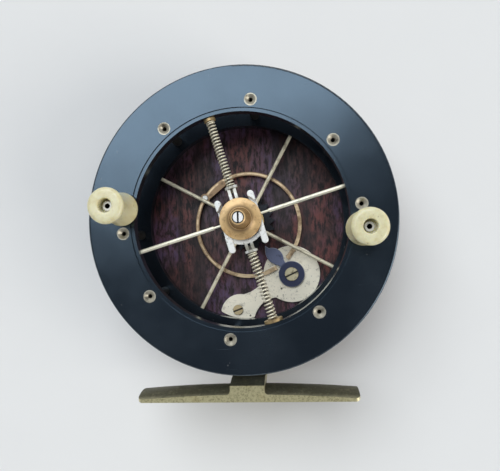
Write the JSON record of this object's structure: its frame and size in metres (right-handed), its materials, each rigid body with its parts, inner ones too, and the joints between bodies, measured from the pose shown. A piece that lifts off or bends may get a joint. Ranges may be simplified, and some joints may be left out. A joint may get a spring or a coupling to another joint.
{
  "type": "centrepin fishing reel",
  "caption": "Wood-backed centrepin fishing reel: spoked open drum with twin handles, sprung release forks on a grooved spindle, a leaf-pawl check and a saddle foot.",
  "frame": {"origin": "on the spindle axis at the flat rear of the brass star, on which the reel rests", "axes": "+Z along the spindle out of the handle face, +Y away from the foot, +X to the right seen from the handle side"},
  "size_m": [0.1208, 0.1288, 0.0616],
  "materials": {
    "ebonite": "polished black hard rubber, slightly dulled by wear",
    "walnut": "oiled dark hardwood with fine straight grain",
    "brass": "turned brass, mellowed",
    "foot_brass": "cast brass with a dark patina",
    "cap_brass": "bright turned brass",
    "bronze": "plain bronze",
    "nickel_silver": "polished nickel silver",
    "steel": "bright drawn steel",
    "blued_steel": "blued steel",
    "spring_bronze": "hard-rolled spring strip, tarnished",
    "white_metal": "pale cast white metal with small pits",
    "horn": "polished pale horn"
  },
  "bodies": {
    "back": {"back_plate": "walnut", "star_back": "brass", "star_screws": "brass", "foot": "foot_brass", "spindle": "steel", "check_spring": "spring_bronze", "check_spring_pin": "steel", "check_pivot_screw": "brass"},
    "check_lever": {"check_plate": "white_metal", "check_button": "brass", "pawl_screw": "brass"},
    "check_pawl": {"pawl": "blued_steel"},
    "drum": {"front_flange": "ebonite", "back_flange": "ebonite", "pillars": "nickel_silver", "hub": "brass", "hub_bushes": "bronze", "hub_cap": "cap_brass", "ratchet_wheel": "blued_steel", "front_spokes": "nickel_silver", "back_spokes": "nickel_silver", "guide_rods": "steel", "top_release_spring": "steel", "bottom_release_spring": "steel", "spring_seats": "brass", "handle_pins": "nickel_silver", "handle_washers": "brass"},
    "upper_fork": {"top_release_fork": "nickel_silver"},
    "lower_fork": {"bottom_release_fork": "nickel_silver"},
    "right_grip": {"right_handle": "horn"},
    "left_grip": {"left_handle": "horn"},
    "regulator": {"regulator_screw": "nickel_silver"}
  },
  "joints": [
    {"name": "drum_spin", "type": "hinge", "parent": "back", "child": "drum", "pos_m": [0, 0, 0.0265], "axis": [0, 0, 1], "continuous": true},
    {"name": "right_handle_spin", "type": "hinge", "parent": "drum", "child": "right_grip", "pos_m": [0.04383, -0.00492, 0.0524], "axis": [0, 0, 1], "continuous": true},
    {"name": "left_handle_spin", "type": "hinge", "parent": "drum", "child": "left_grip", "pos_m": [-0.04383, 0.00492, 0.0524], "axis": [0, 0, 1], "continuous": true},
    {"name": "top_release", "type": "slide", "parent": "drum", "child": "upper_fork", "axis": [-0.2773, 0.9608, 0], "range_m": [0, 0.001], "stiffness_N_per_m": 600, "springref_m": -0.002, "deforming": ["top_release_spring"]},
    {"name": "bottom_release", "type": "slide", "parent": "drum", "child": "lower_fork", "axis": [0.2773, -0.9608, 0], "range_m": [0, 0.001], "stiffness_N_per_m": 600, "springref_m": -0.002, "deforming": ["bottom_release_spring"]},
    {"name": "regulator_turn", "type": "hinge", "parent": "drum", "child": "regulator", "pos_m": [0, 0, 0.0497], "axis": [0, 0, 1], "range_deg": [-180, 180]},
    {"name": "check_switch", "type": "hinge", "parent": "back", "child": "check_lever", "pos_m": [-0.0048, -0.0364, 0.0132], "axis": [0, 0, 1], "range_deg": [0, 4.3]},
    {"name": "pawl_swing", "type": "hinge", "parent": "check_lever", "child": "check_pawl", "pos_m": [0.01805, -0.02195, 0.0145], "axis": [0, 0, 1], "range_deg": [-24.5, 12.2], "stiffness_Nm_per_rad": 0.01, "deforming": ["check_spring"]}
  ]
}
